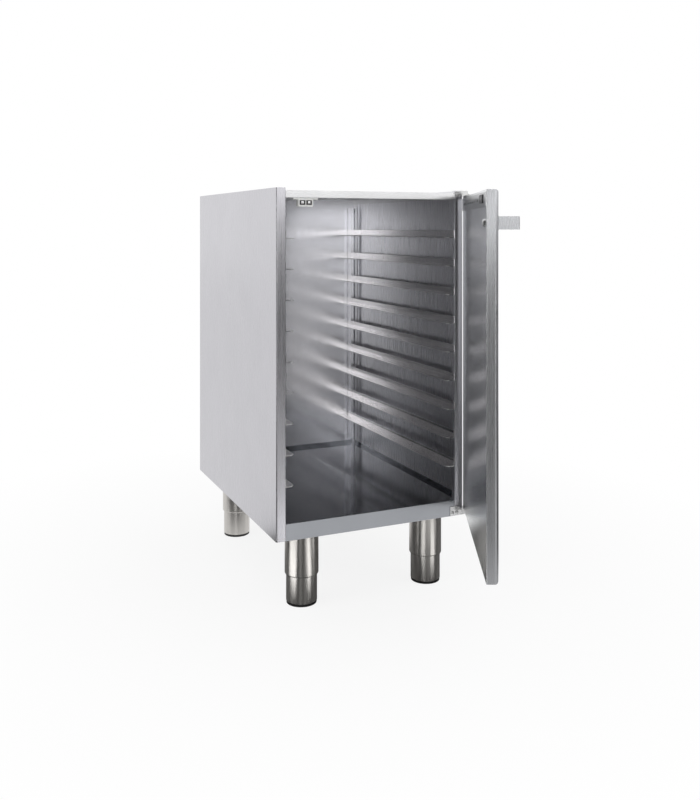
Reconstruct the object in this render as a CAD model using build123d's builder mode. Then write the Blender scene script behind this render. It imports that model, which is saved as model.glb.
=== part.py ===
"""Baking tray cabinet: a folded stainless cabinet on four levelling legs, with nine pairs of
tray runners, a pivot-hung double-skinned door and a magnetic catch.

Millimetres, +Z up, +Y towards the back. The origin is on the floor, under the centre of the
cabinet body. The door is drawn open, as it stands at rest.
"""
import os
from math import cos, radians, sin

from build123d import *

os.makedirs("parts", exist_ok=True)

# Cabinet body
width = 455.0
depth = 625.0
body_height = 748.0
leg_height = 152.0
sheet = 1.5
bend = 2.2
fit_gap = 0.5

# Side panels
front_flange = 21.0
flange_lip = 12.0
rear_flange = 18.0
foot_flange = 18.0

# Top and base
top_drop = 5.5
top_rail_height = 16.0
top_rail_return = 30.0
top_side_fold = 12.0
rear_fold = 20.0
base_rail_height = 36.0
upstand = 8.0

# Back and rear posts
back_recess = 20.0
post_depth = 22.0
post_lip = 4.5
post_top_gap = 23.0
post_hole_radius = 2.6
post_hole_drop = 24.0

# Tray runners
runner_count = 9
runner_top_drop = 108.5
runner_floor_gap = 77.1
runner_sheet = 1.2
runner_leg = 16.5
runner_ledge = 20.5
runner_setback = 2.0
runner_chamfer = 8.0

# Legs
leg_inset_side = 74.0
leg_inset_front = 44.5
leg_inset_rear = 102.0
socket_radius = 37.0
socket_wall = 2.0
socket_length = 88.0
socket_taper = 2.0
slide_gap = 1.2
plate_size = 83.0
plate_thickness = 3.0
plate_corner = 6.0
channel_lift = 6.0
channel_sheet = 2.0
channel_overlap = 1.0
foot_engagement = 36.0
foot_wall = 2.0
foot_floor = 3.0
pad_height = 6.0
pad_inset = 0.8
spindle_radius = 8.0
spindle_clearance = 0.05
spindle_top_gap = 11.0
nut_disc = 10.0
nut_disc_drop = 26.0
bolt_radius = 3.0
bolt_offset = 33.5
bolt_hole_clearance = 0.2
bolt_head_height = 4.0
bolt_head_radius = 5.5
nut_height = 5.0

# Hinges
hinge_outset = 3.75
hinge_forward = 9.75
bracket_sheet = 3.0
leaf_thickness = 1.8
lower_leaf_inboard = 33.5
upper_leaf_inboard = 20.5
leaf_height = 21.0
leaf_edge = 1.0
ear_inboard = 12.0
ear_radius = 8.0
lip_height = 12.0
pin_radius = 4.0
pin_clearance = 0.05
pin_head_radius = 5.0
pin_head = 2.0
pin_stand = 3.0
washer_thickness = 1.0
washer_radius = 7.0
lug_length = 60.0
lug_width = 14.0
lug_setback = 2.0
hinge_screw_radius = 2.0
hinge_screw_head = 3.6
hinge_screw_rise = 1.5
screw_tail = 0.5
outer_screw_inboard = 16.5
inner_screw_inboard = 27.5
lug_screw_first = 28.0
lug_screw_second = 50.0

# Door
door_open_angle = 63.9
door_side_gap = 1.0
door_gap = 2.0
door_thickness = 22.5
door_bottom_rise = 23.0
door_top_drop = 15.5
door_bend = 7.0
door_return = 12.0
strip_height = 27.0
strip_drop = 4.0
strip_sheet = 1.5
strip_slot_length = 24.0
strip_slot_width = 5.0
strip_slot_pitch = 45.0
strip_slot_count = 7

# Handle
handle_length = 26.0
handle_depth = 40.0
handle_height = 24.0
handle_sheet = 2.0
handle_bend = 2.5
handle_end_gap = 16.0
handle_drop = 76.0
handle_screw_radius = 3.0
handle_screw_head = 5.5
handle_screw_rise = 3.0
cap_nut_radius = 8.0
cap_nut_height = 5.0

# Magnetic catch
catch_from_side = 67.0
catch_body_width = 33.0
catch_wing_width = 56.0
catch_wing = 3.5
catch_drop = 18.5
catch_depth = 15.0
catch_setback = 1.5
magnet_width = 13.0
magnet_height = 10.0
magnet_spacing = 15.0
magnet_proud = 0.2
magnet_depth = 9.0
magnet_rise = 3.5
catch_screw_radius = 1.75
catch_screw_head = 3.2
catch_screw_rise = 1.5
strike_width = 50.0
strike_height = 16.0
strike_sheet = 1.5
strike_corner = 4.0
strike_screw_radius = 2.0
strike_screw_head = 3.4

# Planes of the cabinet, worked out from the sizes above
left = -width / 2
right = width / 2
front = -depth / 2
back = depth / 2
body_base = leg_height
body_top = leg_height + body_height
deck_top = body_top - top_drop
deck_under = deck_top - sheet
rail_under = deck_top - top_rail_height
floor_top = body_base + base_rail_height
floor_under = floor_top - sheet
back_face = back - back_recess - sheet
lip_end = front + flange_lip + fit_gap

# Hinge bracket screws, through the side panel's flange and, below, the rail too
lower_screw_level = body_base + leaf_edge + leaf_height / 3
upper_screw_level = deck_top - 2 * hinge_screw_radius
lower_screw_places = [
    (right - outer_screw_inboard, lower_screw_level),
    (right - inner_screw_inboard, lower_screw_level),
]
upper_screw_places = [(right - outer_screw_inboard, upper_screw_level)]
screw_reach = leaf_thickness + sheet + screw_tail

# Hinge axis and the door's own frame: u runs from the hinge to the free edge, v out of the door
hinge_x = right + hinge_outset
hinge_y = front - hinge_forward
u_direction = (-cos(radians(door_open_angle)), -sin(radians(door_open_angle)), 0)
v_direction = (sin(radians(door_open_angle)), -cos(radians(door_open_angle)), 0)
door_frame = Plane(origin=(hinge_x, hinge_y, 0), x_dir=u_direction, z_dir=(0, 0, 1))
door_near = hinge_outset + door_side_gap
door_far = hinge_outset + width - door_side_gap
door_inner = door_gap - hinge_forward
door_outer = door_inner + door_thickness
door_base = body_base + door_bottom_rise
door_top = body_top - door_top_drop
skin_back = door_inner + sheet
strip_face = door_inner - strip_sheet
lug_centre = door_inner + lug_setback + lug_width / 2
lug_screw_places = [(lug_screw_first, lug_centre), (lug_screw_second, lug_centre)]


def finish(piece, name):
    """Label a finished piece and write it under its own name."""
    piece.part.label = name
    export_step(piece.part, f"parts/{name}.step")


def patch(x0, y0, x1, y1):
    """A rectangle in the open sketch, between two opposite corners."""
    with Locations(((x0 + x1) / 2, (y0 + y1) / 2)):
        Rectangle(abs(x1 - x0), abs(y1 - y0))


def front_plane(y):
    """An upright plane at depth y that looks towards the front; its x is the cabinet's x."""
    return Plane(origin=(0, y, 0), x_dir=(1, 0, 0), z_dir=(0, -1, 0))


def door_face(v):
    """An upright plane in the door at distance v; its x is u, its y is height, it looks inwards."""
    return Plane(
        origin=(hinge_x + v_direction[0] * v, hinge_y + v_direction[1] * v, 0),
        x_dir=u_direction,
        z_dir=(-v_direction[0], -v_direction[1], 0),
    )


# Side panels: a wall folded in at the front, with a lip behind, and in at the back and foot
def side_panel(name, side):
    wall = side * width / 2
    with BuildPart() as panel:
        with BuildSketch(Plane.XY.offset(body_base)) as section:
            patch(wall, front, wall - side * sheet, back)
            patch(wall, front, wall - side * front_flange, front + sheet)
            patch(
                wall - side * (front_flange - sheet), front,
                wall - side * front_flange, front + flange_lip,
            )
            patch(wall, back - sheet, wall - side * rear_flange, back)
            outer = section.vertices().group_by(Axis.X)[-1 if side > 0 else 0]
            fillet(outer, bend)
            inner_front = section.vertices().group_by(Axis.Y)[0]
            fillet(inner_front.sort_by(Axis.X)[0 if side > 0 else -1], bend / 2)
        extrude(amount=body_height)
        with BuildSketch(Plane.XY.offset(body_base)):
            patch(
                wall - side * sheet, lip_end,
                wall - side * foot_flange, back - back_recess,
            )
        extrude(amount=sheet)
        if side > 0:
            with BuildSketch(front_plane(front)):
                for level in (lower_screw_level, upper_screw_level):
                    with Locations((right - outer_screw_inboard, level)):
                        Circle(hinge_screw_radius)
            extrude(amount=-sheet, mode=Mode.SUBTRACT)
    finish(panel, name)


side_panel("left_side_panel", -1)
side_panel("right_side_panel", 1)

# Back panel: set in from the rear edge, with a fold at each side that meets the side panel
with BuildPart() as back_panel:
    with BuildSketch(Plane.XY.offset(floor_top)):
        patch(left + sheet, back_face, right - sheet, back_face + sheet)
        patch(left + sheet, back_face, left + 2 * sheet, back - sheet)
        patch(right - 2 * sheet, back_face, right - sheet, back - sheet)
    extrude(amount=deck_under - floor_top)
finish(back_panel, "back_panel")

# Top panel: a recessed deck whose front folds down into the top rail and back under
catch_x = left + catch_from_side
catch_screw_offset = (catch_wing_width + catch_body_width) / 4
catch_screw_y = front + catch_setback + catch_depth / 2
catch_screw_places = [(catch_x + side * catch_screw_offset, catch_screw_y) for side in (-1, 1)]
with BuildPart() as top_panel:
    with BuildSketch(Plane.XY.offset(deck_under)):
        patch(left + front_flange, front, right - front_flange, lip_end)
        patch(left + sheet, lip_end, right - sheet, back - sheet)
    extrude(amount=sheet)
    with BuildSketch(Plane.XY.offset(rail_under)):
        patch(left + front_flange, front, right - front_flange, front + sheet)
    extrude(amount=top_rail_height - sheet)
    with BuildSketch(Plane.XY.offset(rail_under)):
        patch(left + front_flange, front, right - front_flange, front + top_rail_return)
        with Locations(*catch_screw_places):
            Circle(catch_screw_radius, mode=Mode.SUBTRACT)
    extrude(amount=sheet)
    with BuildSketch(Plane.XY.offset(deck_under - top_side_fold)):
        patch(left + sheet, lip_end, left + 2 * sheet, back_face)
        patch(right - 2 * sheet, lip_end, right - sheet, back_face)
    extrude(amount=top_side_fold)
    with BuildSketch(Plane.XY.offset(deck_under - rear_fold)):
        patch(left + 2 * sheet, back - 2 * sheet, right - 2 * sheet, back - sheet)
    extrude(amount=rear_fold)
    rail_edge = top_panel.edges().filter_by(Axis.X).group_by(Axis.Y)[0]
    fillet(rail_edge, sheet / 2)
finish(top_panel, "top_panel")

# Base panel: the cabinet's floor, folded up at the walls and down into the bottom rail
with BuildPart() as base_panel:
    with BuildSketch(Plane.XY.offset(floor_under)):
        patch(left + front_flange, front, right - front_flange, lip_end)
        patch(left + sheet, lip_end, right - sheet, back - sheet)
    extrude(amount=sheet)
    with BuildSketch(Plane.XY.offset(body_base)):
        patch(left + front_flange, front, right - front_flange, front + sheet)
    extrude(amount=base_rail_height - sheet)
    with BuildSketch(Plane.XY.offset(floor_top)):
        patch(left + sheet, lip_end, left + 2 * sheet, back_face)
        patch(right - 2 * sheet, lip_end, right - sheet, back_face)
        patch(left + sheet, back_face - sheet, right - sheet, back_face)
    extrude(amount=upstand)
    with BuildSketch(Plane.XY.offset(floor_under - rear_fold)):
        patch(left + sheet, back - 2 * sheet, right - sheet, back - sheet)
    extrude(amount=rear_fold)
    rail_edge = base_panel.edges().filter_by(Axis.X).group_by(Axis.Y)[0].sort_by(Axis.Z)[-1]
    fillet(rail_edge, sheet / 2)
    with BuildSketch(front_plane(front)):
        with Locations((right - inner_screw_inboard, lower_screw_level)):
            Circle(hinge_screw_radius)
    extrude(amount=-2 * sheet, mode=Mode.SUBTRACT)
finish(base_panel, "base_panel")


# Leg channels: two troughs under the floor that the leg plates bolt to
leg_rows = {"front": front + leg_inset_front, "rear": back - leg_inset_rear}
leg_columns = {"left": left + leg_inset_side, "right": right - leg_inset_side}
channel_base = body_base + channel_lift
channel_half = plate_size / 2 - channel_overlap


def leg_channel(name, centre_y):
    with BuildPart() as channel:
        with BuildSketch(Plane.XY.offset(channel_base)):
            patch(
                left + front_flange + fit_gap, centre_y - channel_half,
                right - front_flange - fit_gap, centre_y + channel_half,
            )
            for column in leg_columns.values():
                with Locations((column, centre_y)):
                    with GridLocations(2 * bolt_offset, 2 * bolt_offset, 2, 2):
                        Circle(bolt_radius + bolt_hole_clearance, mode=Mode.SUBTRACT)
        extrude(amount=channel_sheet)
        with BuildSketch(Plane.XY.offset(channel_base + channel_sheet)):
            for edge in (-1, 1):
                patch(
                    left + front_flange + fit_gap, centre_y + edge * channel_half,
                    right - front_flange - fit_gap, centre_y + edge * (channel_half - channel_sheet),
                )
        extrude(amount=floor_under - channel_base - channel_sheet)
    finish(channel, name)


for row, centre_y in leg_rows.items():
    leg_channel(f"{row}_leg_channel", centre_y)


# Rear posts: lipped channels in the back corners, open to the front, that carry the runners
def rear_post(name, side):
    inner = side * (width / 2 - front_flange)
    outer = side * (width / 2 - 2 * sheet)
    post_back = back_face - sheet
    post_front = post_back - post_depth
    post_top = deck_under - post_top_gap
    with BuildPart() as post:
        with BuildSketch(Plane.XY.offset(floor_top)):
            patch(inner, post_back - sheet, outer, post_back)
            patch(inner, post_front, inner + side * sheet, post_back)
            patch(outer, post_front, outer - side * sheet, post_back)
            patch(inner, post_front, inner + side * post_lip, post_front + sheet)
            patch(outer, post_front, outer - side * post_lip, post_front + sheet)
        extrude(amount=post_top - floor_top)
        with BuildSketch(front_plane(post_back - sheet)):
            with Locations(((inner + outer) / 2, post_top - post_hole_drop)):
                Circle(post_hole_radius)
        extrude(amount=-sheet, mode=Mode.SUBTRACT)
    finish(post, name)


rear_post("rear_left_post", -1)
rear_post("rear_right_post", 1)


# Tray runners: angles with a standing leg on the flange lip and post, and a ledge for the tray
def tray_runner(name, side, low):
    face = side * (width / 2 - front_flange)
    ledge_edge = face - side * runner_ledge
    start = front + runner_setback
    with BuildPart() as runner:
        with BuildSketch(Plane.XY.offset(low)):
            with BuildLine():
                Polyline(
                    (face, start),
                    (ledge_edge + side * runner_chamfer, start),
                    (ledge_edge, start + runner_chamfer),
                    (ledge_edge, back_face),
                    (face, back_face),
                    close=True,
                )
            make_face()
        extrude(amount=runner_sheet)
        with BuildSketch(Plane.XY.offset(low + runner_sheet)):
            patch(face, start, face - side * runner_sheet, back_face - sheet)
        extrude(amount=runner_leg - runner_sheet)
    finish(runner, name)


runner_high = body_top - runner_top_drop
runner_low = floor_top + runner_floor_gap
runner_pitch = (runner_high - runner_low) / (runner_count - 1)
for row in range(runner_count):
    row_level = runner_high - row * runner_pitch
    tray_runner(f"left_runner_{row + 1}", -1, row_level)
    tray_runner(f"right_runner_{row + 1}", 1, row_level)


# Legs: a plate and round socket with a threaded disc inside, and a foot that screws up into it
plate_top = channel_base
plate_under = plate_top - plate_thickness
socket_end = body_base - socket_length
nut_top = plate_under - nut_disc_drop
foot_radius = socket_radius - socket_wall - slide_gap
foot_top = socket_end + foot_engagement
foot_base = pad_height


def leg_socket(name, x, y):
    with BuildPart() as socket:
        with BuildSketch(Plane.XY.offset(plate_under)):
            with Locations((x, y)):
                RectangleRounded(plate_size, plate_size, plate_corner)
                with GridLocations(2 * bolt_offset, 2 * bolt_offset, 2, 2):
                    Circle(bolt_radius + bolt_hole_clearance, mode=Mode.SUBTRACT)
        extrude(amount=plate_thickness)
        with BuildSketch(Plane.XY.offset(socket_end)):
            with Locations((x, y)):
                Circle(socket_radius)
        extrude(amount=plate_under - socket_end)
        mouth = socket.edges().filter_by(GeomType.CIRCLE).sort_by(Axis.Z)[0]
        chamfer(mouth, length=socket_taper, length2=socket_wall / 2)
        with BuildSketch(Plane.XY.offset(socket_end)):
            with Locations((x, y)):
                Circle(socket_radius - socket_wall)
        extrude(amount=nut_top - nut_disc - socket_end, mode=Mode.SUBTRACT)
        with BuildSketch(Plane.XY.offset(nut_top)):
            with Locations((x, y)):
                Circle(socket_radius - socket_wall)
        extrude(amount=plate_under - nut_top, mode=Mode.SUBTRACT)
        with BuildSketch(Plane.XY.offset(nut_top - nut_disc)):
            with Locations((x, y)):
                Circle(spindle_radius + spindle_clearance)
        extrude(amount=nut_disc, mode=Mode.SUBTRACT)
    finish(socket, name)


def leg_foot(name, x, y):
    with BuildPart() as foot:
        with BuildSketch(Plane.XY.offset(foot_base)):
            with Locations((x, y)):
                Circle(foot_radius)
        extrude(amount=foot_top - foot_base)
        with BuildSketch(Plane.XY.offset(foot_base + foot_floor)):
            with Locations((x, y)):
                Circle(foot_radius - foot_wall)
        extrude(amount=foot_top - foot_base - foot_floor, mode=Mode.SUBTRACT)
        with BuildSketch(Plane.XY.offset(foot_base + foot_floor)):
            with Locations((x, y)):
                Circle(spindle_radius)
        extrude(amount=plate_under - spindle_top_gap - foot_base - foot_floor)
    finish(foot, name)


def foot_pad(name, x, y):
    with BuildPart() as pad:
        with BuildSketch(Plane.XY):
            with Locations((x, y)):
                Circle(foot_radius - pad_inset)
        extrude(amount=pad_height)
        fillet(pad.edges().sort_by(Axis.Z)[0], pad_inset)
    finish(pad, name)


for row, y in leg_rows.items():
    for column, x in leg_columns.items():
        leg_socket(f"{row}_{column}_leg_socket", x, y)
        leg_foot(f"{row}_{column}_foot", x, y)
        foot_pad(f"{row}_{column}_foot_pad", x, y)

# Leg bolts: hexagon bolts up through each plate and channel, with their nuts
leg_centres = [(x, y) for y in leg_rows.values() for x in leg_columns.values()]
with BuildPart() as leg_bolts:
    with BuildSketch(Plane.XY.offset(plate_under - bolt_head_height)):
        for x, y in leg_centres:
            with Locations((x, y)):
                with GridLocations(2 * bolt_offset, 2 * bolt_offset, 2, 2):
                    RegularPolygon(bolt_head_radius, 6)
    extrude(amount=bolt_head_height)
    with BuildSketch(Plane.XY.offset(plate_under)):
        for x, y in leg_centres:
            with Locations((x, y)):
                with GridLocations(2 * bolt_offset, 2 * bolt_offset, 2, 2):
                    Circle(bolt_radius)
    extrude(amount=plate_thickness + channel_sheet + nut_height)
    with BuildSketch(Plane.XY.offset(channel_base + channel_sheet)):
        for x, y in leg_centres:
            with Locations((x, y)):
                with GridLocations(2 * bolt_offset, 2 * bolt_offset, 2, 2):
                    RegularPolygon(bolt_head_radius, 6)
    extrude(amount=nut_height)
finish(leg_bolts, "leg_bolts")

# Hinge brackets: a leaf on the cabinet's front, an ear bent forward over the pin, and a lip
lower_lug_low = door_base - bracket_sheet
lower_ear_top = lower_lug_low - washer_thickness
upper_lug_high = door_top + bracket_sheet
upper_ear_low = upper_lug_high + washer_thickness
ear_front = hinge_y - ear_radius
ear_outer = hinge_x + ear_radius


def hinge_bracket(name, leaf_inboard, leaf_span, web_span, ear_low, lip_span, screw_places):
    with BuildPart() as bracket:
        with BuildSketch(front_plane(front)):
            patch(right - leaf_inboard, leaf_span[0], right - ear_inboard, leaf_span[1])
            patch(right - ear_inboard, web_span[0], hinge_x, web_span[1])
            with Locations(*screw_places):
                Circle(hinge_screw_radius, mode=Mode.SUBTRACT)
        extrude(amount=leaf_thickness)
        with BuildSketch(Plane.XY.offset(ear_low)):
            with BuildLine():
                Polyline(
                    (ear_outer, hinge_y),
                    (ear_outer, front),
                    (right - ear_inboard, front),
                    (right - ear_inboard, ear_front),
                    (hinge_x, ear_front),
                )
                RadiusArc((ear_outer, hinge_y), (hinge_x, ear_front), ear_radius)
            make_face()
            with Locations((hinge_x, hinge_y)):
                Circle(pin_radius, mode=Mode.SUBTRACT)
        extrude(amount=bracket_sheet)
        with BuildSketch(Plane.XY.offset(lip_span[0])):
            patch(right - ear_inboard, ear_front, hinge_x, ear_front + leaf_thickness)
        extrude(amount=lip_span[1] - lip_span[0])
    finish(bracket, name)


lower_leaf_low = body_base + leaf_edge
upper_leaf_high = body_top - leaf_edge
hinge_bracket(
    "lower_hinge_bracket",
    leaf_inboard=lower_leaf_inboard,
    leaf_span=(lower_leaf_low, lower_leaf_low + leaf_height),
    web_span=(lower_leaf_low, lower_ear_top),
    ear_low=lower_ear_top - bracket_sheet,
    lip_span=(lower_ear_top - lip_height, lower_ear_top),
    screw_places=lower_screw_places,
)
hinge_bracket(
    "upper_hinge_bracket",
    leaf_inboard=upper_leaf_inboard,
    leaf_span=(door_top + door_gap, upper_leaf_high),
    web_span=(upper_ear_low, upper_leaf_high),
    ear_low=upper_ear_low,
    lip_span=(upper_ear_low, upper_leaf_high),
    screw_places=upper_screw_places,
)


# Hinge pins: riveted into the ears, each reaching through the door's lug
def hinge_pin(name, head_low, shank_low, shank_high):
    with BuildPart() as pin:
        with BuildSketch(Plane.XY.offset(shank_low)):
            with Locations((hinge_x, hinge_y)):
                Circle(pin_radius)
        extrude(amount=shank_high - shank_low)
        with BuildSketch(Plane.XY.offset(head_low)):
            with Locations((hinge_x, hinge_y)):
                Circle(pin_head_radius)
        extrude(amount=pin_head)
    finish(pin, name)


lower_pin_base = lower_ear_top - bracket_sheet
upper_pin_top = upper_ear_low + bracket_sheet
hinge_pin("lower_hinge_pin", lower_pin_base - pin_head, lower_pin_base, door_base + pin_stand)
hinge_pin("upper_hinge_pin", upper_pin_top, door_top - pin_stand, upper_pin_top)

# Washer: the nylon ring on the lower ear that the door's weight turns on
with BuildPart() as hinge_washer:
    with BuildSketch(Plane.XY.offset(lower_ear_top)):
        with Locations((hinge_x, hinge_y)):
            Circle(washer_radius)
            Circle(pin_radius, mode=Mode.SUBTRACT)
    extrude(amount=washer_thickness)
finish(hinge_washer, "hinge_washer")

# Bracket screws: pan heads on the leaves, two below and one above
with BuildPart() as hinge_bracket_screws:
    with BuildSketch(front_plane(front - leaf_thickness)):
        with Locations(*lower_screw_places, *upper_screw_places):
            Circle(hinge_screw_head)
    extrude(amount=hinge_screw_rise)
    with BuildSketch(front_plane(front - leaf_thickness)):
        with Locations(*lower_screw_places, *upper_screw_places):
            Circle(hinge_screw_radius)
    extrude(amount=-screw_reach)
finish(hinge_bracket_screws, "hinge_bracket_screws")


# Door lugs: strips fixed under and over the door that reach out to the hinge pins
def door_lug(name, low):
    with BuildPart() as lug:
        with BuildSketch(door_frame.offset(low)):
            Circle(ear_radius)
            patch(0, lug_centre - lug_width / 2, lug_length, lug_centre + lug_width / 2)
            Circle(pin_radius + pin_clearance, mode=Mode.SUBTRACT)
            with Locations(*lug_screw_places):
                Circle(hinge_screw_radius, mode=Mode.SUBTRACT)
        extrude(amount=bracket_sheet)
    finish(lug, name)


door_lug("lower_door_lug", lower_lug_low)
door_lug("upper_door_lug", door_top)

# Lug screws: two under the door and two over it, through the lug and the skin's edge
with BuildPart() as door_lug_screws:
    for head_face, outward in ((lower_lug_low, -1), (upper_lug_high, 1)):
        with BuildSketch(door_frame.offset(head_face)):
            with Locations(*lug_screw_places):
                Circle(hinge_screw_head)
        extrude(amount=outward * hinge_screw_rise)
        with BuildSketch(door_frame.offset(head_face)):
            with Locations(*lug_screw_places):
                Circle(hinge_screw_radius)
        extrude(amount=-outward * (bracket_sheet + sheet + screw_tail))
finish(door_lug_screws, "door_lug_screws")

# Outer door skin: a pan with rounded bends, open to the inside but for a narrow return all round
handle_far = door_far - handle_end_gap
handle_near = handle_far - handle_length
handle_z = body_top - handle_drop
handle_low = handle_z - handle_height / 2
handle_screw_place = ((handle_near + handle_far) / 2, handle_z)


def rounded_slab(inset, bend_radius):
    """The door's pan as a solid, set in by a distance on every side, with its outer face rounded."""
    with BuildPart() as slab:
        with BuildSketch(door_frame.offset(door_base + inset)):
            patch(door_near + inset, skin_back + inset, door_far - inset, door_outer - inset)
        extrude(amount=door_top - door_base - 2 * inset)
        outer_face = slab.faces().sort_by(Axis((0, 0, 0), v_direction))[-1]
        fillet(outer_face.edges(), bend_radius)
    return slab.part


with BuildPart() as door_outer_skin:
    add(rounded_slab(0, door_bend))
    add(rounded_slab(sheet, door_bend - sheet), mode=Mode.SUBTRACT)
    with BuildSketch(door_frame.offset(door_base + door_return)):
        patch(door_near + door_return, skin_back, door_far - door_return, skin_back + sheet)
    extrude(amount=door_top - door_base - 2 * door_return, mode=Mode.SUBTRACT)
    with BuildSketch(door_frame.offset(door_base - sheet)):
        with Locations(*lug_screw_places):
            Circle(hinge_screw_radius)
    extrude(amount=door_top - door_base + 2 * sheet, mode=Mode.SUBTRACT)
    with BuildSketch(door_face(door_outer)):
        with Locations(handle_screw_place):
            Circle(handle_screw_radius)
    extrude(amount=2 * sheet, mode=Mode.SUBTRACT)
finish(door_outer_skin, "door_outer_skin")

# Inner door skin: the flat sheet that closes the pan
strip_top = door_top - strip_drop
strip_base = strip_top - strip_height
strike_u = hinge_outset + width - catch_from_side
magnet_low = rail_under - catch_drop + magnet_rise
strike_z = magnet_low + magnet_height / 2
with BuildPart() as door_inner_skin:
    with BuildSketch(door_face(door_inner)):
        patch(door_near, door_base, door_far, door_top)
        with Locations(handle_screw_place):
            Circle(handle_screw_radius, mode=Mode.SUBTRACT)
        with Locations((strike_u, strike_z)):
            Circle(strike_screw_radius, mode=Mode.SUBTRACT)
    extrude(amount=-sheet)
finish(door_inner_skin, "door_inner_skin")

# Top strip: the slotted stiffener along the top of the inner skin, which carries the strike
strip_middle = (door_near + strike_u - strike_width / 2) / 2
with BuildPart() as door_top_strip:
    with BuildSketch(door_face(door_inner)):
        patch(door_near, strip_base, door_far, strip_top)
        with Locations((strip_middle, (strip_base + strip_top) / 2)):
            with GridLocations(strip_slot_pitch, 1, strip_slot_count, 1):
                SlotOverall(strip_slot_length, strip_slot_width, mode=Mode.SUBTRACT)
        with Locations((strike_u, strike_z)):
            Circle(strike_screw_radius, mode=Mode.SUBTRACT)
    extrude(amount=strip_sheet)
finish(door_top_strip, "door_top_strip")

# Strike plate: the steel plate that the magnets hold
with BuildPart() as strike_plate:
    with BuildSketch(door_face(strip_face)):
        with Locations((strike_u, strike_z)):
            RectangleRounded(strike_width, strike_height, strike_corner)
            Circle(strike_screw_head, mode=Mode.SUBTRACT)
    extrude(amount=strike_sheet)
finish(strike_plate, "strike_plate")

# Strike screw: its head lies flush in the strike's hole
with BuildPart() as strike_screw:
    with BuildSketch(door_face(strip_face)):
        with Locations((strike_u, strike_z)):
            Circle(strike_screw_head)
    extrude(amount=strike_sheet)
    with BuildSketch(door_face(strip_face)):
        with Locations((strike_u, strike_z)):
            Circle(strike_screw_radius)
    extrude(amount=-(strip_sheet + 2 * sheet))
finish(strike_screw, "strike_screw")

# Handle: a small folded box that stands out from the door, open underneath
with BuildPart() as handle:
    with BuildSketch(door_frame.offset(handle_low)):
        patch(handle_near, door_outer, handle_far, door_outer + handle_depth)
    extrude(amount=handle_height)
    grip_face = handle.faces().sort_by(Axis((0, 0, 0), v_direction))[-1]
    fillet(grip_face.edges().sort_by(Axis.Z)[1:], handle_bend)
    with BuildSketch(door_frame.offset(handle_low)):
        patch(
            handle_near + handle_sheet, door_outer + handle_sheet,
            handle_far - handle_sheet, door_outer + handle_depth - handle_sheet,
        )
    extrude(amount=handle_height - handle_sheet, mode=Mode.SUBTRACT)
    with BuildSketch(door_face(door_outer + handle_sheet)):
        with Locations(handle_screw_place):
            Circle(handle_screw_radius)
    extrude(amount=handle_sheet, mode=Mode.SUBTRACT)
finish(handle, "handle")

# Handle screw: its head inside the handle, its shank through the whole door
with BuildPart() as handle_screw:
    with BuildSketch(door_face(door_outer + handle_sheet)):
        with Locations(handle_screw_place):
            Circle(handle_screw_head)
    extrude(amount=-handle_screw_rise)
    with BuildSketch(door_face(door_outer + handle_sheet)):
        with Locations(handle_screw_place):
            Circle(handle_screw_radius)
    extrude(amount=door_thickness + handle_sheet)
finish(handle_screw, "handle_screw")

# Cap nut: the low dome that closes the handle's screw on the inner skin
cap_dome = (cap_nut_radius**2 + cap_nut_height**2) / (2 * cap_nut_height)
nut_plane = Plane(
    origin=door_face(door_inner).from_local_coords(Vector(*handle_screw_place, 0)),
    x_dir=(0, 0, 1),
    z_dir=u_direction,
)
with BuildPart() as handle_cap_nut:
    with BuildSketch(nut_plane):
        with BuildLine():
            dome = RadiusArc((0, cap_nut_height), (cap_nut_radius, 0), cap_dome)
            Polyline(dome @ 1, (0, 0), dome @ 0)
        make_face()
    revolve(axis=Axis(nut_plane.origin, v_direction))
finish(handle_cap_nut, "handle_cap_nut")

# Catch housing: a plastic block under the top rail with a wing at each side for its screws
catch_front = front + catch_setback
catch_back = catch_front + catch_depth
catch_low = rail_under - catch_drop
with BuildPart() as catch_housing:
    with BuildSketch(Plane.XY.offset(rail_under - catch_wing)):
        patch(catch_x - catch_wing_width / 2, catch_front, catch_x + catch_wing_width / 2, catch_back)
    extrude(amount=catch_wing)
    with BuildSketch(Plane.XY.offset(catch_low)):
        patch(catch_x - catch_body_width / 2, catch_front, catch_x + catch_body_width / 2, catch_back)
    extrude(amount=catch_drop - catch_wing)
    for side in (-1, 1):
        with BuildSketch(front_plane(catch_front)):
            with Locations((catch_x + side * magnet_spacing / 2, strike_z)):
                Rectangle(magnet_width, magnet_height)
        extrude(amount=-magnet_depth, mode=Mode.SUBTRACT)
    with BuildSketch(Plane.XY.offset(rail_under - catch_wing)):
        with Locations(*catch_screw_places):
            Circle(catch_screw_radius)
    extrude(amount=catch_wing, mode=Mode.SUBTRACT)
finish(catch_housing, "catch_housing")

# Catch magnets: two black blocks in the housing, a little proud of it
with BuildPart() as catch_magnets:
    for side in (-1, 1):
        with BuildSketch(front_plane(catch_front - magnet_proud)):
            with Locations((catch_x + side * magnet_spacing / 2, strike_z)):
                Rectangle(magnet_width, magnet_height)
        extrude(amount=-(magnet_depth + magnet_proud))
finish(catch_magnets, "catch_magnets")

# Catch screws: up through the wings into the rail's return
with BuildPart() as catch_screws:
    with BuildSketch(Plane.XY.offset(rail_under - catch_wing)):
        with Locations(*catch_screw_places):
            Circle(catch_screw_head)
    extrude(amount=-catch_screw_rise)
    with BuildSketch(Plane.XY.offset(rail_under - catch_wing)):
        with Locations(*catch_screw_places):
            Circle(catch_screw_radius)
    extrude(amount=catch_wing + sheet + screw_tail)
finish(catch_screws, "catch_screws")
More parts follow.
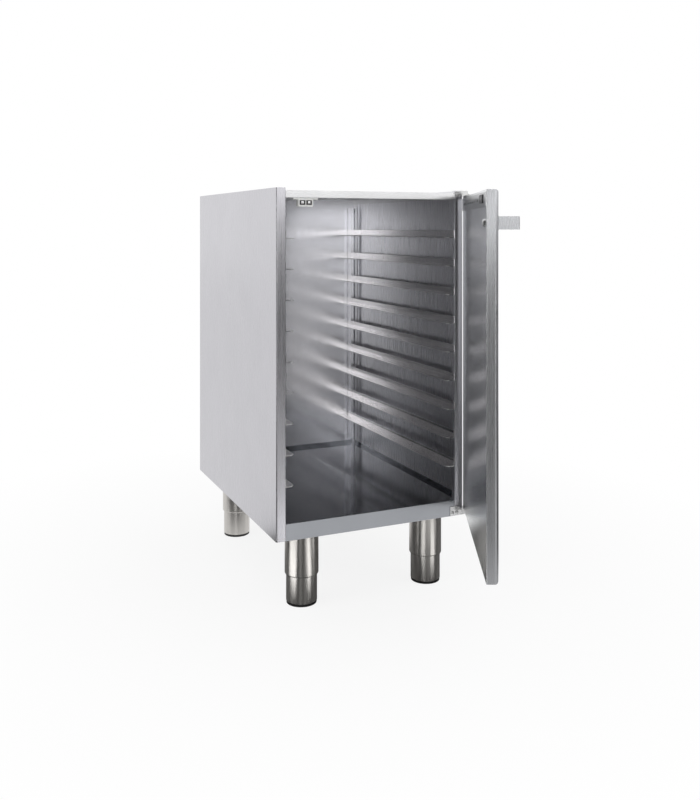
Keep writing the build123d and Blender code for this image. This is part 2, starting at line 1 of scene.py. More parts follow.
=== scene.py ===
# %% [markdown]
# # A baking tray cabinet in stainless steel
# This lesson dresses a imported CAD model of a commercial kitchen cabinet: folded sheet on four
# levelling legs, nine pairs of tray runners, a door that stands open and a magnetic catch. The CAD
# pieces stay as they are. Blender adds what the CAD can't hold: the finish of each metal, the small
# pressed and moulded details, the studio and the camera.

# %% The fixed frame
import math

import bmesh
import bpy
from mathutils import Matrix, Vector


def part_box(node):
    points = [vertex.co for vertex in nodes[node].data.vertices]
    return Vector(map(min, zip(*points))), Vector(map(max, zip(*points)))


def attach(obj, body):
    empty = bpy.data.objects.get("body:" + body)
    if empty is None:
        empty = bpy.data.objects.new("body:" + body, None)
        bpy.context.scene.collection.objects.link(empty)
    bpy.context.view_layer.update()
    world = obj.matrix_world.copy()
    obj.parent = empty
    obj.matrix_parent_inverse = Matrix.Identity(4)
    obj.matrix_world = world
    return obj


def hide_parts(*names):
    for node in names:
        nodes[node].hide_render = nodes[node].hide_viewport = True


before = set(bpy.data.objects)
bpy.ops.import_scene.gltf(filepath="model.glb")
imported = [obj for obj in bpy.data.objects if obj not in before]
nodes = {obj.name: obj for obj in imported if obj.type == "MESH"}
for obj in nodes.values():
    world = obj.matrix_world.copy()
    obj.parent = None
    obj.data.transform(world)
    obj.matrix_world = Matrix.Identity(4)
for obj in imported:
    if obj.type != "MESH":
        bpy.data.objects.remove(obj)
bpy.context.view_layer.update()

MM = 0.001
WHITE = "#ffffff"

# %% [markdown]
# ## Colours and nodes
# Paint and metal charts give colours as sRGB hex values, but a renderer adds up light, so it needs
# linear numbers. One function turns the first into the second. A second function adds a shader node
# with its settings and its links in one call, which keeps each material short enough to read.


# %% Helpers for materials
def linear(hex_colour):
    """Turn an sRGB hex colour into the linear RGBA that a socket holds."""
    levels = [int(hex_colour[i:i + 2], 16) / 255 for i in (1, 3, 5)]
    light = [v / 12.92 if v <= 0.04045 else ((v + 0.055) / 1.055) ** 2.4 for v in levels]
    return (*light, 1.0)


def add_node(tree, kind, sockets=None, **settings):
    """Add one node. Settings are its properties, and sockets holds a value or a link for each input."""
    made = tree.nodes.new(kind)
    for name, value in settings.items():
        setattr(made, name, value)
    for name, value in (sockets or {}).items():
        if isinstance(value, bpy.types.NodeSocket):
            tree.links.new(value, made.inputs[name])
        else:
            made.inputs[name].default_value = value
    return made


def new_material(name):
    """Make an empty node material and return it with its tree."""
    material = bpy.data.materials.new(name)
    material.use_nodes = True
    material.node_tree.nodes.clear()
    return material, material.node_tree


def give(material, *names):
    """Put one material on each named CAD node."""
    for name in names:
        mesh = nodes[name].data
        mesh.materials.clear()
        mesh.materials.append(material)


print("white is", linear(WHITE)[:3], "and mid grey is", round(linear("#808080")[0], 3))

# %% [markdown]
# ## Brushed stainless steel
# Most of the cabinet is 1.4301 stainless sheet with a ground finish: an abrasive belt of about 180
# grit leaves fine parallel scratches along the sheet. They make the grey slightly streaky, and they
# spread a reflection across the grain, so the sheet mirrors light and dark without a sharp image.
# The real scratches are 0.05 mm wide, far too fine for this picture, so they are drawn about 1 mm
# wide. A second, cloudy noise of about 90 mm stands for the uneven roll of the sheet.
# A bitmap of real scratches would also do, but noise stretched along one axis needs no image.
#
# The side panels are ground on the outside and on the flange round the door opening. Their inner
# face is painted paler, as painted light for the light inside the box, and the material tells the two apart
# by their place.

# %% Brushed sheet
NOISE_SPAN = {"From Min": 0.3, "From Max": 0.7}    # nearly all of a noise's values lie in here
ROUGHNESS_SPREAD = 0.03
OUTER_FACE = 226.75     # mm from the middle plane: further out is a side panel's outer face
FLANGE_FACE = -311.8    # mm: in front of this is the flange round the door opening


def brushed_sheet(name, colour, roughness, grain, streak_mm=1.0, length_mm=120.0, contrast=0.03,
                  cloud_mm=90.0, cloud=0.04, scratch=0.02, inner_painted_light=None, turned=0.0):
    """Stainless sheet. Grain is the axis, 0 to 2, that the scratches run along.

    The inner colour, when given, is a paler colour for the wall's inner face: painted light, for the
    light that falls into the box. Turned is the anisotropy of metal whose finest lines run level round its
    upright axis.
    """
    material, tree = new_material(name)
    place = add_node(tree, "ShaderNodeTexCoord")
    scale = [1 / (streak_mm * MM)] * 3
    scale[grain] = 1 / (length_mm * MM)
    along_grain = add_node(tree, "ShaderNodeMapping", {"Vector": place.outputs["Object"], "Scale": scale})
    streaks = add_node(tree, "ShaderNodeTexNoise", {
        "Vector": along_grain.outputs["Vector"], "Scale": 1.0, "Detail": 3.0, "Roughness": 0.6})
    clouds = add_node(tree, "ShaderNodeTexNoise", {
        "Vector": place.outputs["Object"], "Scale": 1 / (cloud_mm * MM), "Detail": 4.0})
    shade = add_node(tree, "ShaderNodeMapRange", {
        "Value": streaks.outputs["Fac"], **NOISE_SPAN, "To Min": 1 - contrast, "To Max": 1 + contrast})
    mottle = add_node(tree, "ShaderNodeMapRange", {
        "Value": clouds.outputs["Fac"], **NOISE_SPAN, "To Min": 1 - cloud, "To Max": 1 + cloud})
    both = add_node(tree, "ShaderNodeMath", {0: shade.outputs["Result"], 1: mottle.outputs["Result"]},
                    operation="MULTIPLY")
    base = linear(colour)[:3]
    # The inner faces get the paler colour: painted light for the light inside the box
    if inner_painted_light:
        part = add_node(tree, "ShaderNodeSeparateXYZ", {"Vector": place.outputs["Object"]})
        off_middle = add_node(tree, "ShaderNodeMath", {0: part.outputs["X"]}, operation="ABSOLUTE")
        outside = add_node(tree, "ShaderNodeMath", {0: off_middle.outputs["Value"], 1: OUTER_FACE * MM},
                           operation="GREATER_THAN")
        in_front = add_node(tree, "ShaderNodeMath", {0: part.outputs["Y"], 1: FLANGE_FACE * MM},
                            operation="LESS_THAN")
        ground = add_node(tree, "ShaderNodeMath", {
            0: outside.outputs["Value"], 1: in_front.outputs["Value"]}, operation="MAXIMUM")
        # Sockets 0, 6, 7 and output 2 are the factor, the two colours and the result
        sides = add_node(tree, "ShaderNodeMix", {
            0: ground.outputs["Value"], 6: linear(inner_painted_light), 7: linear(colour)}, data_type="RGBA")
        base = sides.outputs[2]
    tone = add_node(tree, "ShaderNodeVectorMath", {0: base, "Scale": both.outputs["Value"]},
                    operation="SCALE")
    rough = add_node(tree, "ShaderNodeMapRange", {
        "Value": streaks.outputs["Fac"], **NOISE_SPAN,
        "To Min": roughness - ROUGHNESS_SPREAD, "To Max": roughness + ROUGHNESS_SPREAD})
    ridge = add_node(tree, "ShaderNodeBump", {
        "Height": streaks.outputs["Fac"], "Strength": 0.2, "Distance": scratch * MM})
    sockets = {"Base Color": tone.outputs["Vector"], "Metallic": 1.0, "Roughness": rough.outputs["Result"],
               "Normal": ridge.outputs["Normal"]}
    if turned:
        # A quarter of a turn lays the stretched highlight across the level lines
        round_axis = add_node(tree, "ShaderNodeTangent", direction_type="RADIAL", axis="Z")
        sockets.update({"Anisotropic": turned, "Anisotropic Rotation": 0.25,
                        "Tangent": round_axis.outputs["Tangent"]})
    shader = add_node(tree, "ShaderNodeBsdfPrincipled", sockets)
    add_node(tree, "ShaderNodeOutputMaterial", {"Surface": shader.outputs["BSDF"]})
    return material


print("one function makes every sheet metal")

# %% [markdown]
# ## The cabinet's metals
# One steel can look very different after its last process. A ground sheet is a soft grey, a cold
# rolled one is paler and smoother, a bright annealed one is close to a mirror, and a tube that was
# polished on a lathe shows upright bands of light and dark. So each process gets a material of its
# own, with the same pattern and other numbers. They could share one material and differ by their
# lighting, but then they would look alike in any other scene. Inside the box the colours also hold painted
# light and shade: the walls' inner faces, the back and the posts are painted pale for the light that falls
# in, and the floor is painted dark for the shade at the bottom.

# %% Metals
# Walls ground along their height: a soft grey with faint upright lines, and painted light inside: a paler
# colour on the inner faces
side_steel_painted_light_inside = brushed_sheet("stainless_1_4301_ground_along_height_painted_light_inside", "#cac9ce", 0.28, 2,
                           contrast=0.02, cloud=0.02, inner_painted_light="#e9e9ec")
# Top and front rail ground across: light, with level lines
rail_steel = brushed_sheet("stainless_1_4301_ground_along_width", "#dededf", 0.28, 0)
# Back and posts: painted light, a pale colour for the light on the back of the box; smooth and nearly even
back_painted_light_steel = brushed_sheet("stainless_1_4301_back_painted_light", "#e8e8ec", 0.22, 0, contrast=0.01)
# Floor: painted shade, a dark grey for the shade at the bottom of the box; the smoothest sheet, so it
# mirrors the back wall
floor_painted_shade_steel = brushed_sheet("stainless_1_4301_floor_painted_shade", "#87898d", 0.10, 1, contrast=0.02)
# Runners bent from bright strip: clear bands of light along them
runner_steel = brushed_sheet("stainless_1_4301_runner_strip", "#f4f2f2", 0.15, 1)
# Deburred edges: a wide soft highlight, so the edge reads as a thin light line
edge_steel = brushed_sheet("stainless_1_4301_deburred_edge", "#f6f6f6", 0.38, 1, contrast=0.01)
# Door and handle ground along the height: the walls' finish, a little darker
door_steel = brushed_sheet("stainless_1_4301_door_ground", "#c6c7ca", 0.28, 2)
# The door's inner skin, bright annealed: its level rolling lines smear reflections up and down
mirror_steel = brushed_sheet("stainless_1_4301_bright_annealed", "#e9ebec", 0.24, 0, contrast=0.01,
                             turned=0.92)
# The door's slotted strip: a plain mid grey
strip_steel = brushed_sheet("stainless_1_4301_slotted_strip", "#b9babb", 0.22, 2)
# Brackets, pins, screws and bolts: satin, a shade lighter than the strip
bracket_steel = brushed_sheet("stainless_1_4301_bracket_satin", "#c9c9c9", 0.25, 0)
# Leg tubes polished on a lathe: lines run round, so light stands in upright bands
tube_steel = brushed_sheet("stainless_1_4301_tube_turned", "#cac7c3", 0.30, 2,
                           streak_mm=0.8, length_mm=1.0, contrast=0.01, turned=0.88)
# The catch's strike, phosphated: nearly black with a dull sheen
black_steel = brushed_sheet("steel_phosphated_black", "#2c2c2e", 0.35, 0, contrast=0.01)
# Leg channels, hot-dip galvanised: a patchy blue-grey with crystals of about 9 mm
zinc_steel = brushed_sheet("galvanised_steel_spangle", "#a9adb0", 0.40, 0, streak_mm=9.0, length_mm=9.0)
print("metals:", len(bpy.data.materials))

# %% [markdown]
# ## Plastics, ferrite and rubber
# The catch is injection-moulded ABS: white, smooth, with a faint pebble from the mould. Its magnets
# are sintered ferrite, a dull black ceramic. The washer is nylon, and the pads are a hard black
# rubber. Each is a dielectric, so it keeps Metallic at 0 and an IOR near 1.5, and the difference
# between them lies in roughness and in the size of the grain.


# %% Moulded and sintered materials
def moulded(name, colour, roughness, ior, grain_mm, relief_mm):
    """A dielectric with a fine pebble from its mould or its sintering."""
    material, tree = new_material(name)
    place = add_node(tree, "ShaderNodeTexCoord")
    pebble = add_node(tree, "ShaderNodeTexNoise", {
        "Vector": place.outputs["Object"], "Scale": 1 / (grain_mm * MM), "Detail": 3.0})
    tint = add_node(tree, "ShaderNodeMapRange", {
        "Value": pebble.outputs["Fac"], **NOISE_SPAN, "To Min": 0.92, "To Max": 1.05})
    tone = add_node(tree, "ShaderNodeVectorMath", {0: linear(colour)[:3], "Scale": tint.outputs["Result"]},
                    operation="SCALE")
    rough = add_node(tree, "ShaderNodeMapRange", {
        "Value": pebble.outputs["Fac"], "To Min": roughness - 0.06, "To Max": roughness + 0.06})
    relief = add_node(tree, "ShaderNodeBump", {
        "Height": pebble.outputs["Fac"], "Strength": 0.5, "Distance": relief_mm * MM})
    shader = add_node(tree, "ShaderNodeBsdfPrincipled", {
        "Base Color": tone.outputs["Vector"], "Roughness": rough.outputs["Result"], "IOR": ior,
        "Normal": relief.outputs["Normal"]})
    add_node(tree, "ShaderNodeOutputMaterial", {"Surface": shader.outputs["BSDF"]})
    return material


# The catch's housing: clean white with a soft gloss
catch_abs = moulded("abs_moulded_white", "#eeeeec", 0.35, 1.53, 0.8, 0.05)
# Its magnets: matt black with a ceramic's fine grain
ferrite = moulded("ferrite_sintered_black", "#141416", 0.55, 1.60, 0.5, 0.04)
# The hinge washer: milky and waxy
nylon = moulded("nylon_moulded_natural", "#d8d6cc", 0.45, 1.53, 1.0, 0.05)
# Foot pads, and the painted shade in the strip's slots: black that hardly shines
rubber_and_slot_shade = moulded("rubber_black_and_painted_slot_shade", "#1b1a1a", 0.60, 1.52, 1.2, 0.08)
print("materials so far:", len(bpy.data.materials))

# %% [markdown]
# ## Which piece has which finish
# The grain of a ground sheet follows the coil it was cut from. On the walls and the door it runs up
# and down, on the rails across, and on the runners from front to back. A list per material shows at
# a glance what is made of what, and the last line tells whether a piece was forgotten.

# %% Materials on the CAD pieces
runner_numbers = range(1, 10)
corners = [f"{end}_{side}" for end in ("front", "rear") for side in ("left", "right")]
give(side_steel_painted_light_inside, "left_side_panel", "right_side_panel")
give(rail_steel, "top_panel")
give(floor_painted_shade_steel, "base_panel")
give(back_painted_light_steel, "back_panel", "rear_left_post", "rear_right_post")
give(runner_steel, *[f"{side}_runner_{n}" for side in ("left", "right") for n in runner_numbers])
give(door_steel, "door_outer_skin", "handle")
give(mirror_steel, "door_inner_skin")
give(strip_steel, "door_top_strip", "strike_screw")
give(black_steel, "strike_plate")
give(bracket_steel, "upper_hinge_bracket", "lower_hinge_bracket", "upper_hinge_pin", "lower_hinge_pin",
     "upper_door_lug", "lower_door_lug", "door_lug_screws", "handle_screw", "catch_screws",
     "hinge_bracket_screws", "leg_bolts", "handle_cap_nut")
give(tube_steel, *[f"{c}_leg_socket" for c in corners], *[f"{c}_foot" for c in corners])
give(zinc_steel, "front_leg_channel", "rear_leg_channel")
give(catch_abs, "catch_housing")
give(ferrite, "catch_magnets")
give(nylon, "hinge_washer")
give(rubber_and_slot_shade, *[f"{c}_foot_pad" for c in corners])
bare = [name for name, node in nodes.items() if not node.data.materials]
print("nodes without a material:", bare)

# %% [markdown]
# ## Helpers for small details
# A bump map could draw a screw's cross or a rounded edge, but a shape that is seen at its edge has
# to be a real shape. Every detail here is a row of rings with a skin between them, as a lathe or a
# press would leave it, so one function that joins rings serves all of them.


# %% Helpers for pieces
def mesh_object(name, shape, material):
    """Turn a bmesh into an object of the scene."""
    mesh = bpy.data.meshes.new(name)
    shape.to_mesh(mesh)
    shape.free()
    mesh.materials.append(material)
    made = bpy.data.objects.new(name, mesh)
    bpy.context.scene.collection.objects.link(made)
    return made


def place_piece(name, shape, material, body):
    """Turn a bmesh into a smooth piece that rides on a body."""
    bmesh.ops.recalc_face_normals(shape, faces=shape.faces)
    piece = mesh_object(name, shape, material)
    piece.data.shade_smooth()
    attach(piece, body)
    print(name, len(piece.data.vertices), "vertices")
    return piece


def add_rings(shape, rings):
    """Join rings of points into a skin with a cap at each end."""
    made = [[shape.verts.new(point) for point in ring] for ring in rings]
    for one, two in zip(made, made[1:]):
        for i in range(len(one)):
            k = (i + 1) % len(one)
            shape.faces.new((one[i], one[k], two[k], two[i]))
    shape.faces.new(made[0])
    shape.faces.new(made[-1])


X_AXIS = Vector((1, 0, 0))
Z_AXIS = Vector((0, 0, 1))
FORWARD = Vector((0, -1, 0))
print("helpers for pieces ready")

# %% [markdown]
# ## Pan-head screws
# The CAD screws are plain discs. A real pan head is a low dome with a cross pressed into it. It is
# drawn like turned work, as rings from the shank's tip to the dome's top, and the cross is pushed
# down into the dome's rings. A boolean cut would also give the cross, but it leaves ragged faces.

# %% Screws
DOME_STEPS = (0.92, 0.8, 0.68, 0.6, 0.5, 0.4, 0.3, 0.2, 0.1)    # shares of the head's radius
CROSS_REACH = 0.62      # share of the head's radius that the cross's arms reach
CROSS_HALF_WIDTH = 0.17
CROSS_DEPTH = 0.6       # share of the head's rise


def add_screw(shape, place, axis, head, rise, shank, length, sides=40):
    """A pan-head screw with a cross recess. Axis points out of the head. Sizes are in millimetres."""
    axis = Vector(axis).normalized()
    across = axis.orthogonal().normalized()
    up = axis.cross(across)
    outline = [(0.3 * shank, -length), (shank, -length), (shank, 0.0), (head, 0.0), (head, 0.45 * rise)]
    outline += [(head * r, rise * (1 - 0.55 * r ** 3)) for r in DOME_STEPS]
    rings = []
    for radius, height in outline:
        on_dome = height > 0.5 * rise and radius < CROSS_REACH * head
        ring = []
        for k in range(sides):
            turn = 2 * math.pi * (k + 0.5) / sides
            x, y = radius * math.cos(turn), radius * math.sin(turn)
            pressed = on_dome and min(abs(x), abs(y)) < CROSS_HALF_WIDTH * head
            z = height - (CROSS_DEPTH * rise if pressed else 0.0)
            ring.append(Vector(place) + MM * (across * x + up * y + axis * z))
        rings.append(ring)
    add_rings(shape, rings)


# Sizes in millimetres: the head's radius and rise, the shank's radius and length
SCREW_HEAD, SCREW_RISE, SCREW_SHANK, SCREW_LENGTH = 3.6, 1.5, 2.0, 3.8
bracket_low, bracket_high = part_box("hinge_bracket_screws")
head_face = bracket_low.y + SCREW_RISE * MM
low_row = bracket_low.z + SCREW_HEAD * MM
high_row = bracket_high.z - SCREW_HEAD * MM
near_x, far_x = bracket_high.x - SCREW_HEAD * MM, bracket_low.x + SCREW_HEAD * MM
screws = bmesh.new()
for x, z in ((near_x, low_row), (far_x, low_row), (near_x, high_row)):
    add_screw(screws, (x, head_face, z), FORWARD, SCREW_HEAD, SCREW_RISE, SCREW_SHANK, SCREW_LENGTH)
bracket_screws = place_piece("hinge_bracket_pan_screws", screws, bracket_steel, "cabinet")
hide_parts("hinge_bracket_screws")

CATCH_HEAD, CATCH_RISE, CATCH_SHANK, CATCH_LENGTH = 3.2, 1.5, 1.75, 5.5
catch_low, catch_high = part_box("catch_screws")
catch_y = (catch_low.y + catch_high.y) / 2
catch_z = catch_low.z + CATCH_RISE * MM
screws = bmesh.new()
for x in (catch_low.x + CATCH_HEAD * MM, catch_high.x - CATCH_HEAD * MM):
    add_screw(screws, (x, catch_y, catch_z), -Z_AXIS, CATCH_HEAD, CATCH_RISE, CATCH_SHANK, CATCH_LENGTH)
housing_screws = place_piece("catch_pan_screws", screws, bracket_steel, "cabinet")
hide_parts("catch_screws")

# %% [markdown]
# ## Runner rims
# A runner is cut on a guillotine and then deburred, so its free edge is round and catches a thin
# line of light. A bevel on the CAD edge would change a CAD piece, which this lesson doesn't do, so
# the rim is a thin rod swept along the edge and round the cut-off front corner.

# %% Rims
RIM_RADIUS = 0.75
RUNNER_SHEET = 1.2
RUNNER_CHAMFER = 8.0    # mm that the front corner is cut off


def add_rod(shape, points, radius, sides=10):
    """Sweep a round rod along a line of points, mitred at its corners."""
    points = [Vector(point) for point in points]
    rings = []
    for i, point in enumerate(points):
        before = (point - points[i - 1]).normalized() if i else None
        after = (points[i + 1] - point).normalized() if i + 1 < len(points) else None
        heading = ((before or after) + (after or before)).normalized()
        across = heading.cross(Z_AXIS).normalized()
        up = across.cross(heading)
        turns = [2 * math.pi * k / sides for k in range(sides)]
        rings.append([point + radius * (across * math.cos(t) + up * math.sin(t)) for t in turns])
    add_rings(shape, rings)


for side, hand in (("left", -1), ("right", 1)):
    rims = bmesh.new()
    for n in runner_numbers:
        low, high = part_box(f"{side}_runner_{n}")
        edge = high.x if hand < 0 else low.x
        z = low.z + 0.5 * RUNNER_SHEET * MM
        line = [(edge + hand * RUNNER_CHAMFER * MM, low.y, z), (edge, low.y + RUNNER_CHAMFER * MM, z),
                (edge, high.y, z)]
        add_rod(rims, line, RIM_RADIUS * MM)
    place_piece(f"{side}_runner_rims", rims, edge_steel, "cabinet")

# %% [markdown]
# ## The catch's pole plates and the painted shade in the strip's slots
# On each ferrite magnet sits a small steel plate, which is what the strike touches. Behind the slots
# of the strip on the door lie dark pads: painted shade, for the shadow in the slots. Both are flat
# pads with round corners and a slight crown. A plain box would do from afar, but its sharp corners
# never catch the light.

# %% Pole plates
POLE_OFFSET = 7.5       # mm from the catch's middle to the middle of each plate


def add_pad(shape, centre, across, up, out, half_width, half_height, thick, corner, steps=5):
    """A pad with round corners and a small crown, in millimetres, on a plane through the centre."""
    rings = []
    for inset, rise in ((0.0, -0.1), (0.0, 0.6 * thick), (0.3 * thick, 0.95 * thick), (0.6 * thick, thick)):
        ring = []
        for sign_x, sign_y, start in ((1, 1, 0), (-1, 1, 90), (-1, -1, 180), (1, -1, 270)):
            for step in range(steps):
                turn = math.radians(start + 90 * step / (steps - 1))
                radius = corner - min(inset, 0.9 * corner)
                x = sign_x * (half_width - corner) + radius * math.cos(turn)
                y = sign_y * (half_height - corner) + radius * math.sin(turn)
                ring.append(Vector(centre) + MM * (across * x + up * y + out * rise))
        rings.append(ring)
    add_rings(shape, rings)


magnet_low, magnet_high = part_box("catch_magnets")
magnet_x = (magnet_low.x + magnet_high.x) / 2
magnet_z = (magnet_low.z + magnet_high.z) / 2
plates = bmesh.new()
for offset in (-POLE_OFFSET, POLE_OFFSET):
    centre = (magnet_x + offset * MM, magnet_low.y, magnet_z)
    add_pad(plates, centre, X_AXIS, Z_AXIS, FORWARD, half_width=3.0, half_height=3.0, thick=0.3, corner=0.6)
place_piece("magnet_pole_plates", plates, bracket_steel, "cabinet")

# %% Painted shade in the slots
DOOR_OPEN = math.radians(63.9)
SLOT_PITCH, SLOT_COUNT, SLOTS_MIDDLE = 45.0, 7, 181.0    # mm from the strip's hinge end
STRIP_SHEET = 1.5
# The strip's own directions: along runs from the hinge to the free edge, and inward faces the
# cabinet when the door is shut
along = Vector((-math.cos(DOOR_OPEN), -math.sin(DOOR_OPEN), 0))
inward = Vector((-math.sin(DOOR_OPEN), math.cos(DOOR_OPEN), 0))
strip_low, strip_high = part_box("door_top_strip")
strip_start = Vector((strip_high.x, strip_high.y, (strip_low.z + strip_high.z) / 2))
# Dark pads in the slots: painted shade, for the shadow in the slots
slot_shade = bmesh.new()
for n in range(SLOT_COUNT):
    reach = SLOTS_MIDDLE + (n - (SLOT_COUNT - 1) / 2) * SLOT_PITCH
    centre = strip_start + MM * (along * reach - inward * STRIP_SHEET)
    add_pad(slot_shade, centre, along, Z_AXIS, inward, half_width=11.8, half_height=2.4, thick=0.8, corner=2.3)
place_piece("strip_slot_painted_shade", slot_shade, rubber_and_slot_shade, "door")

# %% [markdown]
# ## Camera
# The photograph is a level shot from a little left of the front, just below the height of the
# cabinet's top. Its upright lines stay parallel, so the camera isn't tilted: the frame is shifted
# down instead, as a shift lens does. The angle of view comes from the long side of the picture.

# %% The camera
camera_data = bpy.data.cameras.new("camera")
camera = bpy.data.objects.new("camera", camera_data)
bpy.context.scene.collection.objects.link(camera)
camera.location = (-0.8607, -2.0984, 0.8176)
camera.rotation_euler = (math.radians(90), 0, math.radians(-24.21))
camera_data.sensor_width = 36.0
camera_data.lens = 40.41
camera_data.shift_y = -0.217
camera_data.dof.use_dof = False
bpy.context.scene.camera = camera
print("camera at", [round(v, 3) for v in camera.location], "lens", camera_data.lens)

# %% [markdown]
# ## White world
# Polished metal shows the room more than itself, so a photographer lights the room. A white world
# stands for the paper all round. The camera and the mirrors see it at full white, and as a light it
# is a little weaker, so that pale surfaces don't clip.

# %% World
AMBIENT = 0.75
world = bpy.data.worlds.new("white_studio")
bpy.context.scene.world = world
world.use_nodes = True
sky = world.node_tree
sky.nodes.clear()
path = add_node(sky, "ShaderNodeLightPath")
seen = add_node(sky, "ShaderNodeMath", {0: path.outputs["Is Camera Ray"], 1: path.outputs["Is Glossy Ray"]},
                operation="MAXIMUM")
shown = add_node(sky, "ShaderNodeMath", {0: seen.outputs["Value"], 1: path.outputs["Is Transmission Ray"]},
                 operation="MAXIMUM")
level = add_node(sky, "ShaderNodeMapRange", {
    "Value": shown.outputs["Value"], "To Min": AMBIENT, "To Max": 1.0})
paper = add_node(sky, "ShaderNodeBackground", {
    "Color": linear(WHITE), "Strength": level.outputs["Result"]})
add_node(sky, "ShaderNodeOutputWorld", {"Surface": paper.outputs["Background"]})
print("world ready, ambient level", AMBIENT)

# %% [markdown]
# ## Paper floor
# The cabinet stands on a sweep of white paper. Lit paper alone would render as a light grey, so to
# the camera it glows white for its greater part, and its lit part keeps the soft shadow under the
# cabinet. Further out the lit part fades away, and the floor meets the white world without a seam.

# %% Floor
SHADOW_NEAR, SHADOW_FAR = 0.4, 1.2    # metres from the middle: the shadow fades out between them
NEAR_GLOW = 0.86
MIRRORED_GLOW = 0.9
FLOOR_HALF = 14
FLOOR_DROP = 0.0005


def paper_floor():
    """White paper: it shows white to the camera but for the object's soft shadow."""
    material, tree = new_material("studio_paper_white")
    ray = add_node(tree, "ShaderNodeLightPath")
    place = add_node(tree, "ShaderNodeTexCoord")
    reach = add_node(tree, "ShaderNodeVectorMath", {0: place.outputs["Object"]}, operation="LENGTH")
    far = add_node(tree, "ShaderNodeMapRange", {
        "Value": reach.outputs["Value"], "From Min": SHADOW_NEAR, "From Max": SHADOW_FAR,
        "To Min": NEAR_GLOW, "To Max": 1.0})
    share = add_node(tree, "ShaderNodeMath", {0: ray.outputs["Is Camera Ray"], 1: far.outputs["Result"]},
                     operation="MULTIPLY")
    mirrored = add_node(tree, "ShaderNodeMath", {0: share.outputs["Value"], 1: ray.outputs["Is Glossy Ray"]},
                        operation="MAXIMUM")
    strength = add_node(tree, "ShaderNodeMapRange", {
        "Value": ray.outputs["Is Camera Ray"], "To Min": MIRRORED_GLOW, "To Max": 1.0})
    glow = add_node(tree, "ShaderNodeEmission", {
        "Color": linear(WHITE), "Strength": strength.outputs["Result"]})
    matt = add_node(tree, "ShaderNodeBsdfDiffuse", {"Color": linear("#f2f2f2")})
    mixed = add_node(tree, "ShaderNodeMixShader", {
        0: mirrored.outputs["Value"], 1: matt.outputs["BSDF"], 2: glow.outputs["Emission"]})
    add_node(tree, "ShaderNodeOutputMaterial", {"Surface": mixed.outputs["Shader"]})
    return material


sweep = bmesh.new()
bmesh.ops.create_grid(sweep, x_segments=1, y_segments=1, size=FLOOR_HALF)
floor = mesh_object("floor", sweep, paper_floor())
floor.location.z = -FLOOR_DROP
print("floor ready,", 2 * FLOOR_HALF, "metres across")

# %% [markdown]
# ## Boards and soft boxes
# Black boards are put where the metal has to read dark, and bright boxes where it has to read
# light. A low box on the left gives each round leg a bright band, and the wide, high window box
# lights the back wall. Only mirror reflections see the boards, so they shape the steel and leave
# the plain light on everything else as it is.

# %% Cards
BOX_RADIUS = 2.4    # metres from the cabinet's middle to the standing boxes


def card_material(name, strength):
    """A board that only glows: its brightness doesn't depend on the light that falls on it."""
    material, tree = new_material(name)
    glow = add_node(tree, "ShaderNodeEmission", {"Color": linear(WHITE), "Strength": strength})
    add_node(tree, "ShaderNodeOutputMaterial", {"Surface": glow.outputs["Emission"]})
    return material


def place_card(name, pairs, brightness):
    """Make one card from rows of point pairs. Only a mirror reflection sees it."""
    shape = bmesh.new()
    edges = [[shape.verts.new(point) for point in pair] for pair in pairs]
    for one, two in zip(edges, edges[1:]):
        shape.faces.new((one[0], two[0], two[1], one[1]))
    card = mesh_object(name, shape, card_material(name + "_card", brightness))
    card.visible_camera = False
    card.visible_diffuse = False
    card.visible_shadow = False


def spread(start, end, steps=16):
    """Directions in radians from start to end. Angles are in degrees from the front, right positive."""
    return [math.radians(start + (end - start) * step / steps) for step in range(steps + 1)]


def standing_card(name, low, high, start, end, brightness, radius=BOX_RADIUS):
    """A card that stands in an arc round the object, from low to high in metres."""
    pairs = [[(radius * math.sin(a), -radius * math.cos(a), z) for z in (low, high)]
             for a in spread(start, end)]
    place_card(name, pairs, brightness)


def floor_card(name, near, far, start, end, brightness, lift=1.0):
    """A card on the floor, part of a ring from near to far in metres, lifted some millimetres."""
    pairs = [[(r * math.sin(a), -r * math.cos(a), lift * MM) for r in (near, far)]
             for a in spread(start, end)]
    place_card(name, pairs, brightness)


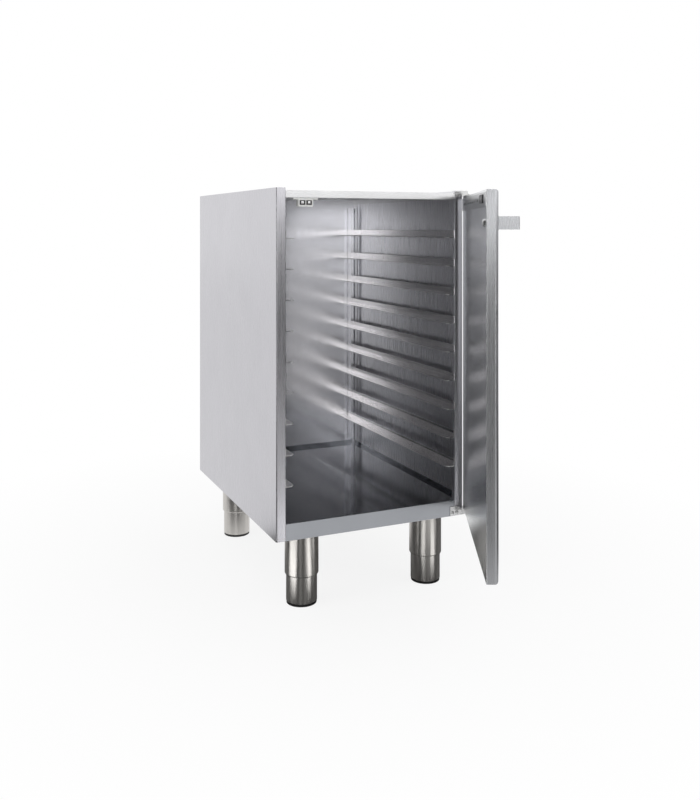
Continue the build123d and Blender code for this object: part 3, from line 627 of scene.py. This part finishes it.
standing_card("black_backing", 0.0, 3.6, -112, 62, 0.03, radius=2.6)
standing_card("strip_box", 0.0, 0.78, -36, -21, 1.2)
standing_card("bridge_box", 0.78, 0.99, -56, -20, 2.9)
standing_card("handle_box", 0.77, 1.00, -20, -8, 2.1)
standing_card("window_box", 0.90, 2.30, -8, 48, 1.75)
standing_card("right_box", 0.30, 0.80, 18, 25, 0.9)
standing_card("edge_box", 0.0, 0.88, -5, 1, 1.4)
standing_card("left_leg_box", 0.0, 0.25, -100, -82, 2.2, radius=2.3)
floor_card("black_floor", 0.0, 2.5, -112, 100, 0.07)
floor_card("pale_floor", 0.95, 2.4, -8, 21, 0.6, lift=2.0)
floor_card("rail_card", 0.64, 0.95, -10, 44, 1.35, lift=3.0)
floor_card("left_leg_card", 0.42, 0.66, -68, -40, 3.2, lift=2.0)
floor_card("middle_leg_card", 0.40, 0.60, -11, 2, 3.4, lift=2.0)
floor_card("right_leg_card", 0.46, 0.62, 21, 33, 2.6, lift=2.0)
print("cards:", sum(1 for thing in bpy.data.materials if thing.name.endswith("_card")))

# %% [markdown]
# ## Lamps
# Two large soft lamps, one to the left and one in front on the right, give the sheet a gentle
# change from light to dark. A sun lamp would throw hard shadows of the runners on the walls. The
# metal doesn't mirror the lamps, since the cards already are what it mirrors.

# %% Soft lamps
LAMP_AIM = Vector((0, 0, 0.5))


def softbox(name, place, width, height, watts):
    """An area lamp that faces the cabinet's middle."""
    data = bpy.data.lights.new(name, "AREA")
    data.shape = "RECTANGLE"
    data.size = width
    data.size_y = height
    data.energy = watts
    lamp = bpy.data.objects.new(name, data)
    bpy.context.scene.collection.objects.link(lamp)
    lamp.location = place
    lamp.rotation_euler = (LAMP_AIM - Vector(place)).to_track_quat("-Z", "Y").to_euler()
    lamp.visible_glossy = False


softbox("left_softbox", (-2.4, -0.3, 1.0), width=1.6, height=1.8, watts=18)
softbox("right_softbox", (1.6, -1.9, 0.9), width=0.7, height=1.8, watts=8)
print("lamps:", len(bpy.data.lights))

# %% [markdown]
# ## Colour management
# The Standard view shows a colour as it is written, where a film-like view would grey the whites.

# %% View
bpy.context.scene.view_settings.view_transform = "Standard"
